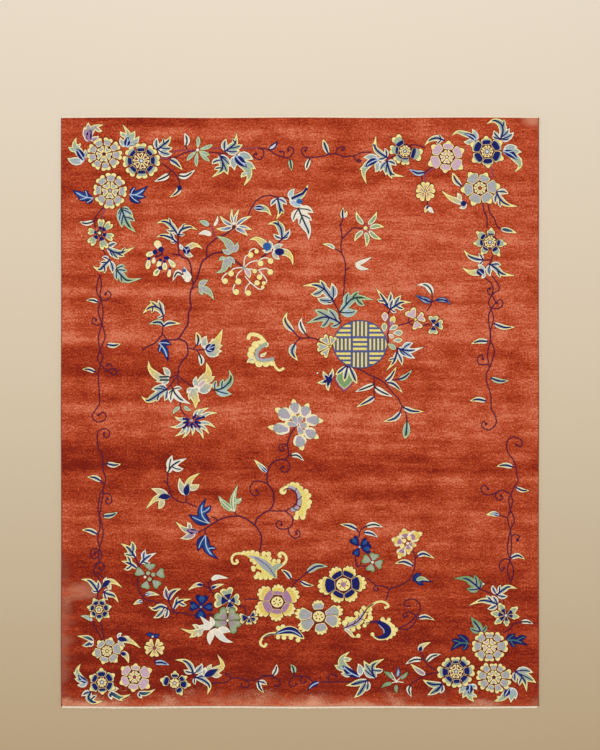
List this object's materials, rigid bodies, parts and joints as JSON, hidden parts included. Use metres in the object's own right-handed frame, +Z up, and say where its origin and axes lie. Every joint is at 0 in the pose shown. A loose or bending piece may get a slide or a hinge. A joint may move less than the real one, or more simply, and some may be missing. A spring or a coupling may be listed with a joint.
{
  "type": "chinese art deco rug",
  "caption": "Flat rectangular hand-knotted wool pile rug with a rust field, flower and leaf sprays, overcast side edges and narrow bare end webs, for laying on a floor.",
  "frame": {"origin": "on the floor under the middle of the rug", "axes": "+Z up through the pile, +Y along the warps to the top end, +X along the wefts to the right side edge"},
  "size_m": [2.44, 3.025, 0.0156],
  "materials": {
    "wool_pile": "clipped hand-knotted wool pile, matt, rust red with streaks of lighter and darker dye",
    "cotton_warp": "undyed cotton warps and wefts, matt"
  },
  "bodies": {
    "root": {"rug": "wool_pile"}
  },
  "joints": []
}
